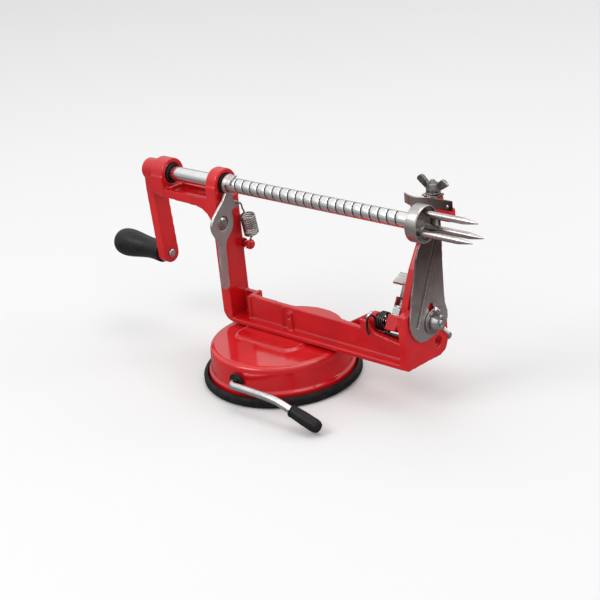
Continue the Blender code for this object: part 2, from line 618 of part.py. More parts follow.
# ============================================================================
# Peeling arm on its pin, with its spring, blade and latch
# ============================================================================
e1 = Vector((0.0, sin(ARM_LEAN), cos(ARM_LEAN)))       # along the arm
e2 = Vector((0.0, -cos(ARM_LEAN), sin(ARM_LEAN)))      # towards the front
e0 = Vector((1.0, 0.0, 0.0))
pivot_c = Vector((0.0, ARM_PY, ARM_PZ))
stem = fillet([(10.2, 50.0), (10.4, 62.0), (13.4, 70.0), (19.8, 83.3), (28.0, 95.4),
               (37.6, 109.0), (41.4, 113.6), (47.4, 113.6), (46.8, 108.6), (38.4, 94.0),
               (30.6, 80.0), (24.6, 64.0), (21.4, 49.0), (19.5, 42.8), (15.5, 41.4), (11.8, 43.2)],
              2.5, 3)
arm = prism("arm", stem, "X", ARM_X0, ARM_X1)
combine(arm, [
    rod("hubtube", "X", ARM_PY, ARM_PZ, 4.55, 80.0, ARM_X1 - 0.6, 24),
    oriented_box("block", (83.2, ARM_PY, ARM_PZ), (e0, e1, e2), (3.9, 4.9, 4.9)),
    prism("head", fillet([(79.8, 108.0), (109.0, 108.0), (109.0, 115.8), (79.8, 115.8)], 1.5, 3),
          "Y", 41.2, 47.2),
    box("headboss", 90.4, 100.8, 41.2, 47.2, 114.0, 122.2),
], "UNION")
combine(arm, [
    rod("a1", "X", ARM_PY, ARM_PZ, 2.8, 78.0, 99.0, 20),
    rod("a2", "Z", STUD_X, STUD_Y, 2.2, 111.0, 123.0, 16),
], "DIFFERENCE")
finish(arm, "peeler_arm", "red", (0, ARM_PY, ARM_PZ))

pin = lathe("pin", [(0, 63.0), (3.4, 63.0), (4.0, 63.6), (4.0, 65.6), (2.5, 65.6), (2.5, 100.4),
                    (2.0, 101.0), (0, 101.0)], "X", ARM_PY, ARM_PZ, 20)
finish(pin, "arm_pivot_pin", "chrome")

coil_pts = [(71.6 + 5.6 * i / 35, ARM_PY + 5.4 * cos(radians(150) + 2 * pi * i / 10),
             ARM_PZ + 5.4 * sin(radians(150) + 2 * pi * i / 10)) for i in range(36)]
leg_a = [(70.6, 4.4, 41.2), (69.6, 4.5, 43.6), (69.4, 4.6, 47.2), (70.0, 4.8, 51.0),
         (70.8, 6.2, 53.2), (71.3, 8.2, 53.0), (71.5, 9.8, 51.4)]
leg_b = [(77.3, 19.4, 42.0), (77.35, 16.6, 40.4), (77.5, 12.8, 40.2), (79.6, 11.0, 41.8),
         (91.4, 11.0, 41.8)]
tors = sweep("tors", leg_a + coil_pts + leg_b, 0.72, 6)
finish(tors, "torsion_spring", "spring")


def blade():
    """Thin strip: an arched cutting band, a flat tab and a clamping ear."""
    n = 14
    front, back = [], []
    for i in range(n + 1):
        x = 77.2 + 19.4 * i / n
        bow = 3.2 * sin(pi * i / n)
        front.append((x, BLADE_Y - bow))
        back.append((x, BLADE_Y + 1.0 - bow))
    front.append((112.0, BLADE_Y))
    back.append((112.0, BLADE_Y + 1.0))
    band = prism("band", front + list(reversed(back)), "Z", 116.2, 122.6)
    ear = box("ear", 90.2, 101.2, BLADE_Y + 0.2, 47.2, 122.5, 123.6)
    combine(band, [ear], "UNION")
    combine(band, [rod("b1", "Z", STUD_X, STUD_Y, 2.3, 120.0, 125.0, 16),
                   rod("b2", "Y", 108.6, 118.9, 0.9, 38.0, 42.0, 12)], "DIFFERENCE")
    return band


finish(blade(), "peeling_blade", "steel", (0, ARM_PY, ARM_PZ))
stud = lathe("stud", [(0, 111.4), (1.9, 111.4), (1.9, 131.6), (1.5, 132.0), (0, 132.0)],
             "Z", STUD_X, STUD_Y, 16)
finish(stud, "blade_stud", "chrome", (0, ARM_PY, ARM_PZ))
wash = prism("wash", [circle(STUD_X, STUD_Y, 4.6, 24), circle(STUD_X, STUD_Y, 2.3, 16)],
             "Z", 123.9, 124.8)
finish(wash, "blade_washer", "steel", (0, ARM_PY, ARM_PZ))


def wing_nut(centre, axis, across, size, hub_h, reach, rise, width):
    """A wing nut: turned hub with a bore, and two swept wings."""
    c, w, u = Vector(centre), Vector(axis).normalized(), Vector(across).normalized()
    v = w.cross(u)
    prof = [(2.25, 0.0), (size, 0.0), (size, hub_h * 0.35), (size * 0.78, hub_h),
            (2.25, hub_h)]
    verts, faces = [], []
    m, n = len(prof), 24
    for i in range(n):
        a = 2 * pi * i / n
        for r, t in prof:
            verts.append(tuple(c + w * t + (u * cos(a) + v * sin(a)) * r))
    for i in range(n):
        k = (i + 1) % n
        for j in range(m):
            l = (j + 1) % m
            faces.append([i * m + j, i * m + l, k * m + l, k * m + j])
    hub = mesh_object("nut", verts, faces)
    wings = []
    for s in (-1, 1):
        shape = [(size * 0.5, 0.6), (size + 1.0, 0.9), (reach * 0.8, rise * 0.42),
                 (reach, rise * 0.62), (reach - 0.6, rise * 0.82), (reach * 0.78, rise),
                 (reach * 0.62, rise * 0.98), (size * 0.75, hub_h * 0.95),
                 (size * 0.5, hub_h * 0.9)]
        verts, k = [], len(shape)
        for side in (-1, 1):
            for r, t in shape:
                verts.append(tuple(c + w * t + u * (s * r) + v * (side * width)))
        faces = [list(range(k)), [k + i for i in reversed(range(k))]]
        faces += [[i, (i + 1) % k, k + (i + 1) % k, k + i] for i in range(k)]
        wings.append(mesh_object("wing", verts, faces))
    combine(hub, wings, "UNION")
    bore = sweep("bore", [tuple(c - w * 2.0), tuple(c + w * (hub_h + 6.0))], 2.2, 16)
    combine(hub, [bore], "DIFFERENCE")
    return hub


nut = wing_nut((STUD_X, STUD_Y, 125.1), (0, 0, 1), (1, -0.15, 0), 4.3, 5.0, 12.4, 8.6, 1.1)
finish(nut, "blade_wing_nut", "chrome", (STUD_X, STUD_Y, 125.1))

# latch: a stud on the hub block, a nut, and a sheet lever with a thumb tab
LX = 84.4
latch_o = pivot_c + Vector((LX, 0, 0)) + e2 * 0.4


def along(t, u=0.0, v=0.0):
    """A point on the latch stud: t along the arm, u in X, v towards the front."""
    return latch_o + e1 * t + e0 * u + e2 * v


hexa = []
for t in (5.2, 9.4):
    for i in range(6):
        a = 2 * pi * i / 6
        hexa.append(tuple(along(t, 5.1 * cos(a), 5.1 * sin(a))))
faces = [list(range(6)), [11, 10, 9, 8, 7, 6]] + [[i, (i + 1) % 6, 6 + (i + 1) % 6, 6 + i]
                                                 for i in range(6)]
nut = mesh_object("lnut", hexa, faces)
combine(nut, [sweep("lb", [tuple(along(4.0)), tuple(along(11.0))], 2.1, 16)], "DIFFERENCE")
finish(nut, "latch_nut", "chrome", (0, ARM_PY, ARM_PZ))
stud = sweep("lstud", [tuple(along(5.2)), tuple(along(14.2)), tuple(along(14.7))], 1.8, 16,
             radii=[1.8, 1.8, 1.3])
finish(stud, "latch_stud", "chrome", (0, ARM_PY, ARM_PZ))
latch = sweep("lring", [tuple(along(9.8)), tuple(along(11.0))], 4.2, 20)
strip = oriented_box("lstrip", along(18.1, -3.0, -3.2), (e0, e1, e2), (1.9, 7.8, 0.6))
ear = oriented_box("lear", along(13.3, -3.6, 0.1), (e0, e1, e2), (0.5, 3.1, 1.9))
tabc = along(27.5, -6.5, -5.2)
fore = Vector((0, 0.93, 0.37))
tab = oriented_box("ltab", tabc, (e0, fore, fore.cross(e0)), (5.3, 4.3, 0.55))
combine(latch, [strip, ear, tab], "UNION")
combine(latch, [sweep("lb2", [tuple(along(8.0)), tuple(along(12.2))], 2.1, 16)], "DIFFERENCE")
finish(latch, "arm_latch", "steel", tuple(latch_o))

# ============================================================================
# Coring and slicing blade with its bolt, washer and wing nut
# ============================================================================
plate_out = fillet([
    (2.0, 53.9), (2.0, 59.2), (4.0, 66.5), (5.2, 74.1), (7.7, 81.0), (9.6, 88.1), (11.3, 94.9),
    (14.4, 100.3), (17.0, 103.4), (18.1, 107.0), (18.1, 117.0), (22.0, 118.0), (32.4, 115.2),
    (37.1, 113.0), (37.1, 98.0), (36.4, 83.4), (36.3, 66.0), (36.9, 57.6), (39.0, 51.5),
    (38.6, 46.7), (34.5, 42.9), (27.0, 41.0), (16.4, 40.2), (10.7, 41.5), (6.1, 45.4),
    (3.2, 49.6)], 1.8, 2)
slit = [(6.9, 52.4), (9.2, 51.5), (33.6, 104.8), (31.4, 105.8)]
slot = ([(24.3 + 2.9 * cos(radians(t)), 50.6 + 2.9 * sin(radians(t))) for t in range(180, 361, 20)]
        + [(22.6 + 2.5 * cos(radians(t)), 60.4 + 2.5 * sin(radians(t))) for t in range(0, 181, 20)])
slicer = prism("slicer", [plate_out, slit, slot], "X", SLICE_X0, SLICE_X1)
ring = prism("corer", [circle(SHAFT_Y, SHAFT_Z, CORE_RO, 32), circle(SHAFT_Y, SHAFT_Z, CORE_RI, 32)],
             "X", CORE_X0, CORE_X1)
tongue = prism("tongue", [(18.15, 111.4), (19.25, 110.8), (19.25, 117.2), (18.15, 117.2)],
               "X", SLICE_X0 + 0.2, CORE_X1)
combine(slicer, [tongue, ring], "UNION")
finish(slicer, "slicer_blade", "steel")
bolt = lathe("bolt", [(0, END_X0 + 0.2), (4.3, END_X0 + 0.2), (4.3, END_X0 + 2.7),
                      (2.1, END_X0 + 2.7), (2.1, 111.7), (1.6, 112.2), (0, 112.2)],
             "X", SLICE_BY, SLICE_BZ, 18)
finish(bolt, "slicer_bolt", "chrome")
wash = prism("wash", [circle(SLICE_BY, SLICE_BZ, 8.2, 32), circle(SLICE_BY, SLICE_BZ, 2.5, 16)],
             "X", SLICE_X1 + 0.3, SLICE_X1 + 1.4)
finish(wash, "slicer_washer", "steel")
nut = wing_nut((SLICE_X1 + 1.7, SLICE_BY, SLICE_BZ), (1, 0, 0), (0, 0.46, -0.89),
               5.6, 4.6, 14.0, 7.6, 1.2)
finish(nut, "slicer_wing_nut", "chrome", (SLICE_X1 + 1.7, SLICE_BY, SLICE_BZ))
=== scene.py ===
"""Looks of a manual apple peeler, corer and slicer on a suction base."""

import json
from math import cos, sin, tan, pi, radians, atan2, hypot, sqrt

import bpy
import bmesh
import numpy as np
from mathutils import Vector, Matrix
from mathutils.geometry import tessellate_polygon


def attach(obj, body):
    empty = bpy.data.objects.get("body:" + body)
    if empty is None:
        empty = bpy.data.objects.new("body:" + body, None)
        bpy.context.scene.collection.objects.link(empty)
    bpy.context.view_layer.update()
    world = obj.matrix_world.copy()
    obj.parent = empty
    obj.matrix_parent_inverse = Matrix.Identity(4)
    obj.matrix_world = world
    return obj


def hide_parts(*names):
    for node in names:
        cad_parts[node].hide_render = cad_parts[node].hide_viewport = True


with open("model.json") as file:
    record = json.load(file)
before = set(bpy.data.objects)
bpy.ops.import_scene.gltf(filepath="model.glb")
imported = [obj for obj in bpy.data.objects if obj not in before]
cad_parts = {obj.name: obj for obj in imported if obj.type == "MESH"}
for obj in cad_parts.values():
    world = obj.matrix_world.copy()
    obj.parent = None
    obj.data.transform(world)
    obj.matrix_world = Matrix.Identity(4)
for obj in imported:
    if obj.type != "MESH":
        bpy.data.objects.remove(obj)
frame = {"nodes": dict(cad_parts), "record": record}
NODES = frame["nodes"]
BODY = {n: b for b, ns in frame["record"]["behaviour"]["bodies"].items() for n in ns}
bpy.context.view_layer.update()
MM = 0.001

# ---------------------------------------------------------------------------
# Materials. Object coordinates are the row frame, in metres.
# ---------------------------------------------------------------------------


class Look:
    """A Principled material that is built up node by node."""

    def __init__(self, name, rough=0.5, metal=0.0, **sockets):
        self.mat = bpy.data.materials.new(name)
        self.mat.use_nodes = True
        self.tree = self.mat.node_tree
        self.bsdf = self.tree.nodes["Principled BSDF"]
        self.bsdf.inputs["Roughness"].default_value = rough
        self.bsdf.inputs["Metallic"].default_value = metal
        for key, value in sockets.items():
            self.bsdf.inputs[key.replace("_", " ")].default_value = value
        self.coord = self.tree.nodes.new("ShaderNodeTexCoord").outputs["Object"]

    def link(self, a, b):
        self.tree.links.new(a, b)

    def mapped(self, scale, rotate=(0, 0, 0)):
        node = self.tree.nodes.new("ShaderNodeMapping")
        node.inputs["Scale"].default_value = scale
        node.inputs["Rotation"].default_value = [radians(a) for a in rotate]
        self.link(self.coord, node.inputs["Vector"])
        return node.outputs["Vector"]

    def noise(self, scale, detail=3.0, rough=0.5, vector=None, distort=0.0):
        node = self.tree.nodes.new("ShaderNodeTexNoise")
        node.inputs["Scale"].default_value = scale
        node.inputs["Detail"].default_value = detail
        node.inputs["Roughness"].default_value = rough
        node.inputs["Distortion"].default_value = distort
        self.link(vector or self.coord, node.inputs["Vector"])
        return node.outputs["Fac"]

    def voronoi(self, scale, vector=None):
        node = self.tree.nodes.new("ShaderNodeTexVoronoi")
        node.inputs["Scale"].default_value = scale
        self.link(vector or self.coord, node.inputs["Vector"])
        return node.outputs["Distance"]

    def ramp(self, value, stops):
        node = self.tree.nodes.new("ShaderNodeValToRGB")
        self.link(value, node.inputs["Fac"])
        elements = node.color_ramp.elements
        while len(elements) < len(stops):
            elements.new(0.5)
        for e, (pos, colour) in zip(elements, stops):
            e.position = pos
            e.color = (*colour, 1.0) if len(colour) == 3 else colour
        return node.outputs["Color"]

    def span(self, value, lo, hi, a=0.0, b=1.0):
        node = self.tree.nodes.new("ShaderNodeMapRange")
        node.inputs["From Min"].default_value = a
        node.inputs["From Max"].default_value = b
        node.inputs["To Min"].default_value = lo
        node.inputs["To Max"].default_value = hi
        self.link(value, node.inputs["Value"])
        return node.outputs["Result"]

    def mix(self, fac, a, b):
        node = self.tree.nodes.new("ShaderNodeMix")
        node.data_type = "RGBA"
        self.link(fac, node.inputs["Factor"])
        for sock, v in ((node.inputs["A"], a), (node.inputs["B"], b)):
            pass
        ins = [s for s in node.inputs if s.type == "RGBA"]
        for sock, v in zip(ins, (a, b)):
            if isinstance(v, (tuple, list)):
                sock.default_value = (*v, 1.0)
            else:
                self.link(v, sock)
        return [s for s in node.outputs if s.type == "RGBA"][0]

    def math(self, op, a, b):
        node = self.tree.nodes.new("ShaderNodeMath")
        node.operation = op
        for sock, v in zip(node.inputs, (a, b)):
            if isinstance(v, (int, float)):
                sock.default_value = v
            else:
                self.link(v, sock)
        return node.outputs["Value"]

    def edges(self, lo=0.50, hi=0.60):
        geo = self.tree.nodes.new("ShaderNodeNewGeometry")
        return self.span(geo.outputs["Pointiness"], 0.0, 1.0, lo, hi)

    def bump(self, height, distance, strength=1.0, under=None):
        node = self.tree.nodes.new("ShaderNodeBump")
        node.inputs["Distance"].default_value = distance
        node.inputs["Strength"].default_value = strength
        self.link(height, node.inputs["Height"])
        if under is not None:
            self.link(under, node.inputs["Normal"])
        return node.outputs["Normal"]

    def colour(self, value):
        self.link(value, self.bsdf.inputs["Base Color"])

    def rough(self, value):
        self.link(value, self.bsdf.inputs["Roughness"])

    def normal(self, value):
        self.link(value, self.bsdf.inputs["Normal"])
        return self.mat


def enamel(name, dark, light, rough=(0.16, 0.27), coat=0.55):
    """Glossy stoved enamel over a casting: soft waves, orange peel, edges lightened as thin enamel and
    as painted highlight.
    """
    k = Look(name, 0.2, 0.0, Coat_Weight=coat, Coat_Roughness=0.07, Specular_IOR_Level=0.38)
    base = k.ramp(k.noise(34, 3), [(0.32, dark), (0.68, light)])
    # painted highlight with thin enamel: pointiness lightens the edges, standing for the gloss on
    # rounded edges
    thin_coat_and_highlight = k.math("MULTIPLY", k.edges(0.535, 0.66), k.span(k.noise(420, 2), 0.25, 0.75))
    k.colour(k.mix(thin_coat_and_highlight, base, tuple(min(1.0, c * 1.25 + 0.05) for c in light)))
    k.rough(k.span(k.noise(95, 4), rough[0], rough[1], 0.3, 0.7))
    wave = k.bump(k.noise(85, 2), 0.0005, 0.16)
    return k.normal(k.bump(k.noise(620, 3), 0.00012, 0.20, wave))


def brushed(name, dark, light, rough=(0.26, 0.42), grain=(60, 2600, 60), rotate=(0, 0, 0),
            strength=0.22, patch=45):
    """Rolled or ground steel: long fine lines, cloudy patches, edges brightened as wear and as painted
    highlight.
    """
    k = Look(name, 0.3, 1.0)
    lines = k.noise(1.0, 4, 0.6, k.mapped(grain, rotate))
    cloud = k.noise(patch, 3)
    both = k.math("ADD", k.math("MULTIPLY", lines, 0.6), k.math("MULTIPLY", cloud, 0.4))
    base = k.ramp(both, [(0.34, dark), (0.66, light)])
    # painted highlight with wear: pointiness brightens the edges
    k.colour(k.mix(k.edges(0.53, 0.64), base, tuple(min(1, c * 1.25) for c in light)))
    k.rough(k.span(both, rough[0], rough[1], 0.3, 0.7))
    return k.normal(k.bump(lines, 0.00006, strength))


def plated(name, dark, light, rough=(0.08, 0.2), grain=(900, 60, 60), rotate=(0, 0, 0)):
    """Bright plating: faint turning lines, small stains and pits."""
    k = Look(name, 0.12, 1.0)
    lines = k.noise(1.0, 3, 0.55, k.mapped(grain, rotate))
    stain = k.noise(130, 4, 0.6)
    k.colour(k.ramp(k.math("ADD", k.math("MULTIPLY", lines, 0.4), k.math("MULTIPLY", stain, 0.6)),
                    [(0.36, dark), (0.62, light)]))
    k.rough(k.span(stain, rough[0], rough[1], 0.35, 0.68))
    fine = k.bump(lines, 0.00004, 0.18)
    return k.normal(k.bump(k.voronoi(700), 0.00003, 0.10, fine))


def graded_steel(name, axis, stops, rough=(0.22, 0.36), grain=(60, 2200, 70), rotate=(24, 0, 0),
          strength=0.3):
    """Brushed steel whose tone changes along one axis of the piece, in millimetres."""
    k = Look(name, 0.3, 1.0)
    sep = k.tree.nodes.new("ShaderNodeSeparateXYZ")
    tex = k.tree.nodes.new("ShaderNodeTexCoord")
    k.tree.links.new(tex.outputs["Object"], sep.inputs[0])
    lines = k.noise(1.0, 3, 0.6, k.mapped(grain, rotate))
    cloud = k.noise(60, 3, 0.55)
    lo, hi = stops[0][0], stops[-1][0]
    t = k.span(sep.outputs[axis], 0.0, 1.0, lo * MM, hi * MM)
    t = k.math("ADD", t, k.math("MULTIPLY", k.math("SUBTRACT", cloud, 0.5), 0.22))
    t = k.math("ADD", t, k.math("MULTIPLY", k.math("SUBTRACT", lines, 0.5), 0.20))
    k.colour(k.ramp(t, [((p - lo) / (hi - lo), c) for p, c in stops]))
    k.rough(k.span(lines, rough[0], rough[1], 0.3, 0.7))
    return k.normal(k.bump(lines, 0.00006, strength))


def moulded(name, dark, light, rough=(0.34, 0.48), grain=1500, depth=0.00005, coat=0.0):
    """Moulded plastic or rubber: fine grain and slightly uneven gloss."""
    k = Look(name, 0.4, 0.0, Coat_Weight=coat, Coat_Roughness=0.25, Specular_IOR_Level=0.22)
    k.colour(k.ramp(k.noise(240, 4), [(0.3, dark), (0.7, light)]))
    k.rough(k.span(k.noise(70, 3), rough[0], rough[1], 0.3, 0.7))
    soft = k.bump(k.noise(140, 2), 0.0003, 0.10)
    return k.normal(k.bump(k.noise(grain, 2), depth, 0.35, soft))


RED = enamel("red_enamel_cast", (0.50, 0.0045, 0.008), (0.64, 0.0085, 0.013))
RED_DEEP = enamel("red_enamel_pressed", (0.52, 0.004, 0.008), (0.66, 0.008, 0.012),
                  rough=(0.11, 0.19), coat=0.8)
# painted shade: a darker copy of the red enamel, for the latch ear
RED_ENAMEL_SHADED = enamel("red_enamel_painted_shade", (0.16, 0.006, 0.010), (0.25, 0.010, 0.014), rough=(0.28, 0.4))
def rod_plating_groove_shade(name):
    """Bright plating with painted shade lying dark in the thread groove."""
    k = Look(name, 0.12, 1.0)
    sep = k.tree.nodes.new("ShaderNodeSeparateXYZ")
    k.link(k.coord, sep.inputs[0])
    dy = k.math("SUBTRACT", sep.outputs["Y"], 8.0 * MM)
    dz = k.math("SUBTRACT", sep.outputs["Z"], 120.0 * MM)
    r = k.math("SQRT", k.math("ADD", k.math("MULTIPLY", dy, dy), k.math("MULTIPLY", dz, dz)), 0.0)
    stain = k.noise(130, 4, 0.6)
    lines = k.noise(1.0, 3, 0.55, k.mapped((900, 60, 60)))
    tone = k.math("ADD", k.math("MULTIPLY", lines, 0.4), k.math("MULTIPLY", stain, 0.6))
    unshaded = k.ramp(tone, [(0.36, (0.84, 0.84, 0.84)), (0.62, (0.95, 0.95, 0.95))])
    # painted shade: the thread groove, from 4.68 mm down to 4.25 mm off the axis, turns near black
    k.colour(k.mix(k.span(r, 1.0, 0.0, 4.25 * MM, 4.68 * MM), unshaded, (0.035, 0.030, 0.030)))
    k.rough(k.span(stain, 0.10, 0.22, 0.35, 0.68))
    return k.normal(k.bump(lines, 0.00004, 0.12))


ROD = plated("plated_rod_plain", (0.62, 0.61, 0.61), (0.86, 0.86, 0.86), rough=(0.10, 0.22))
CHROME = plated("bright_chrome", (0.66, 0.66, 0.67), (0.86, 0.86, 0.87), rough=(0.05, 0.14),
                grain=(300, 300, 300))
NUT = plated("plated_nut", (0.34, 0.33, 0.32), (0.62, 0.60, 0.58), rough=(0.12, 0.26),
             grain=(260, 260, 260))
STEEL = brushed("ground_steel", (0.42, 0.40, 0.385), (0.66, 0.64, 0.62), grain=(50, 2400, 90))
LEVER = brushed("lever_steel", (0.52, 0.495, 0.48), (0.80, 0.77, 0.75), rough=(0.3, 0.46),
                grain=(60, 2000, 160), rotate=(12, 0, 0))
PLATE = brushed("blade_steel", (0.38, 0.345, 0.32), (0.60, 0.575, 0.555), rough=(0.22, 0.36),
                grain=(60, 2200, 70), rotate=(24, 0, 0), strength=0.3)
PRONG = brushed("prong_steel", (0.46, 0.41, 0.40), (0.72, 0.67, 0.66), rough=(0.18, 0.32),
                grain=(2400, 60, 60))
DARK_STEEL = brushed("dark_steel", (0.12, 0.11, 0.105), (0.24, 0.225, 0.215), rough=(0.3, 0.45),
                     grain=(60, 1500, 60))
WIRE = brushed("spring_wire", (0.20, 0.19, 0.185), (0.44, 0.42, 0.41), rough=(0.2, 0.34),
               grain=(400, 400, 400), patch=160)
BLACK_WIRE = brushed("dark_spring_wire", (0.035, 0.033, 0.032), (0.10, 0.095, 0.092),
                     rough=(0.2, 0.34), grain=(400, 400, 400), patch=160)
HUB = brushed("fork_hub_steel", (0.20, 0.185, 0.18), (0.38, 0.36, 0.35), grain=(50, 2400, 90))
# painted reflection: a darker copy of the nut plating, for the dark reflections in the blade's wing
# nut
NUT_DARK_REFLECTION = plated("plated_nut_dark_reflection", (0.14, 0.135, 0.13), (0.36, 0.35, 0.34), rough=(0.10, 0.22),
                  grain=(260, 260, 260))
# painted reflection on the slicer plate: light grey at the bottom, dark brown at the top
SHEET_PAINTED_REFLECTION = graded_steel("slicer_steel_painted_reflection", "Z", [(42.0, (0.86, 0.84, 0.83)), (58.0, (0.74, 0.71, 0.69)),
                                    (76.0, (0.42, 0.37, 0.355)), (94.0, (0.17, 0.125, 0.115)),
                                    (118.0, (0.10, 0.070, 0.062))])
PEEL = graded_steel("peeler_steel", "X", [(77.0, (0.66, 0.64, 0.62)), (90.0, (0.50, 0.47, 0.45)),
                                   (99.0, (0.24, 0.20, 0.18)), (112.0, (0.12, 0.09, 0.075))],
             grain=(900, 60, 900), rotate=(0, 0, 0))
BLACK = moulded("black_handle", (0.006, 0.006, 0.007), (0.017, 0.017, 0.018), coat=0.15)
BUSH = moulded("black_bush", (0.010, 0.010, 0.010), (0.022, 0.022, 0.022))
RUBBER = moulded("black_rubber", (0.007, 0.007, 0.007), (0.018, 0.018, 0.018),
                 rough=(0.5, 0.68), grain=1100)
VINYL = moulded("black_vinyl", (0.006, 0.006, 0.006), (0.015, 0.015, 0.015),
                rough=(0.36, 0.5), grain=900)

# ---------------------------------------------------------------------------
# Mesh tools, in millimetres
# ---------------------------------------------------------------------------


def put(name, mesh, node, mat, angle=None, body=None, slot=None, stands_for=True):
    """Link a finished mesh, ride it on the node's body and stand it for the node."""
    mesh.materials.clear()
    mesh.materials.append(mat)
    for p in mesh.polygons:
        p.material_index = 0
    mesh.shade_smooth()
    if angle is not None:
        mesh.set_sharp_from_angle(angle=radians(angle))
    ob = bpy.data.objects.new(name, mesh)
    bpy.context.scene.collection.objects.link(ob)
    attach(ob, body or BODY[node])
    if stands_for:
        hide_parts(node)
    return ob


def mesh_of(name, verts, faces):
    mesh = bpy.data.meshes.new(name)
    mesh.from_pydata([[c * MM for c in v] for v in verts], [], faces)
    bm = bmesh.new()
    bm.from_mesh(mesh)
    bmesh.ops.remove_doubles(bm, verts=bm.verts, dist=1e-7)
    bmesh.ops.dissolve_degenerate(bm, edges=bm.edges, dist=1e-7)
    bmesh.ops.recalc_face_normals(bm, faces=bm.faces)
    if bm.calc_volume(signed=True) < 0:
        bmesh.ops.reverse_faces(bm, faces=bm.faces)
    bm.to_mesh(mesh)
    bm.free()
    return mesh


def place(axis, u, v, t):
    return {"X": (t, u, v), "Y": (u, t, v), "Z": (u, v, t)}[axis]


def rounded(points, radius, n=4, closed=False):
    """A polyline with its corners rounded by quadratic curves."""
    out, count = [], len(points)
    for i, p in enumerate(points):
        if not closed and i in (0, count - 1):
            out.append(tuple(p))
            continue
        a, b, c = Vector(points[i - 1]), Vector(p), Vector(points[(i + 1) % count])
        r = radius[i] if isinstance(radius, (list, tuple)) else radius
        d0, d1 = a - b, c - b
        l0, l1 = d0.length, d1.length
        d0.normalize(), d1.normalize()
        turn = d0.angle(d1)
        if r <= 0 or turn > radians(174):
            out.append(tuple(b))
            continue
        cut = min(r / tan(turn / 2), l0 * 0.48, l1 * 0.48)
        p0, p1 = b + d0 * cut, b + d1 * cut
        for k in range(n + 1):
            t = k / n
            out.append(tuple(p0 * (1 - t) ** 2 + b * 2 * t * (1 - t) + p1 * t ** 2))
    return out


def turned(name, profile, origin, axis, node, mat, n=96, soft=0.0, angle=40, steps=4, **kw):
    """Turn a closed (radius, height) profile about a line from origin along axis."""
    if soft:
        profile = rounded(profile, soft, steps, closed=profile[0][0] > 0)
    w = Vector(axis).normalized()
    u = w.orthogonal().normalized()
    v = w.cross(u)
    o = Vector(origin)
    verts, faces, m = [], [], len(profile)
    for i in range(n):
        a = 2 * pi * i / n
        d = u * cos(a) + v * sin(a)
        for r, t in profile:
            verts.append(tuple(o + w * t + d * r))
    for i in range(n):
        k = (i + 1) % n
        for j in range(m):
            l = (j + 1) % m
            if profile[j][0] <= 0 and profile[l][0] <= 0:
                continue
            faces.append([i * m + j, i * m + l, k * m + l, k * m + j])
    return put(name, mesh_of(name, verts, faces), node, mat, angle, **kw)


def smooth_path(points, per=8):
    """Centripetal-like Catmull-Rom curve through 3D points."""
    p = [Vector(q) for q in points]
    p = [p[0] * 2 - p[1]] + p + [p[-1] * 2 - p[-2]]
    out = []
    for i in range(1, len(p) - 2):
        for k in range(per):
            t = k / per
            out.append(0.5 * (2 * p[i] + (p[i + 1] - p[i - 1]) * t
                              + (2 * p[i - 1] - 5 * p[i] + 4 * p[i + 1] - p[i + 2]) * t * t
                              + (3 * p[i] - p[i - 1] - 3 * p[i + 1] + p[i + 2]) * t ** 3))
    out.append(p[-2])
    return out


def swept(name, path, r, n=16, cap=True):
    """A round wire along a path, with rounded ends."""
    pts = [Vector(p) for p in path]
    radii = [r] * len(pts)
    if cap:
        d0, d1 = (pts[1] - pts[0]).normalized(), (pts[-1] - pts[-2]).normalized()
        a0, a1 = pts[0], pts[-1]
        steps = [(0.98, 0.2), (0.75, 0.66), (0.35, 0.93)]
        pts = [a0 - d0 * r * (1 - 1 + s * 0.5) for s, _ in steps] + pts \
            + [a1 + d1 * r * s * 0.5 for s, _ in reversed(steps)]
        radii = [r * q for _, q in steps] + radii + [r * q for _, q in reversed(steps)]
    side = (pts[1] - pts[0]).orthogonal().normalized()
    verts, faces = [], []
    for i, p in enumerate(pts):
        t = (pts[min(i + 1, len(pts) - 1)] - pts[max(i - 1, 0)]).normalized()
        side = (side - t * side.dot(t)).normalized()
        up = t.cross(side)
        for k in range(n):
            a = 2 * pi * k / n
            verts.append(tuple(p + (side * cos(a) + up * sin(a)) * radii[i]))
    for i in range(len(pts) - 1):
        for k in range(n):
            l = (k + 1) % n
            faces.append([i * n + k, i * n + l, (i + 1) * n + l, (i + 1) * n + k])
    faces.append(list(range(n)))
    faces.append([(len(pts) - 1) * n + k for k in range(n)])
    return mesh_of(name, verts, faces)


def prism(name, loops, axis, lo, hi):
    flat = [p for loop in loops for p in loop]
    tris = tessellate_polygon([[Vector((p[0], p[1], 0)) for p in loop] for loop in loops])
    n = len(flat)
    verts = [place(axis, u, v, lo) for u, v in flat] + [place(axis, u, v, hi) for u, v in flat]
    faces = [list(t) for t in tris] + [[i + n for i in reversed(t)] for t in tris]
    base = 0
    for loop in loops:
        m = len(loop)
        for i in range(m):
            a, b = base + i, base + (i + 1) % m
            faces.append([a, b, b + n, a + n])
        base += m
    return mesh_of(name, verts, faces)


def remeshed(mesh, voxel, passes, name, factor=0.5):
    """Voxel remesh, then smooth: gives a casting or pressing its rounded edges."""
    ob = bpy.data.objects.new(name + "_tmp", mesh)
    bpy.context.scene.collection.objects.link(ob)
    mod = ob.modifiers.new("voxels", "REMESH")
    mod.mode = "VOXEL"
    mod.voxel_size = voxel * MM
    mod.adaptivity = 0.0
    mod = ob.modifiers.new("soft", "SMOOTH")
    mod.factor = factor
    mod.iterations = passes
    bpy.context.view_layer.update()
    graph = bpy.context.evaluated_depsgraph_get()
    out = bpy.data.meshes.new_from_object(ob.evaluated_get(graph))
    bpy.data.objects.remove(ob, do_unlink=True)
    out.name = name
    return out


def cast(node, mat, voxel, passes, factor=0.5):
    mesh = remeshed(NODES[node].data.copy(), voxel, passes, node + "_fine", factor)
    return put(node + "_fine", mesh, node, mat)


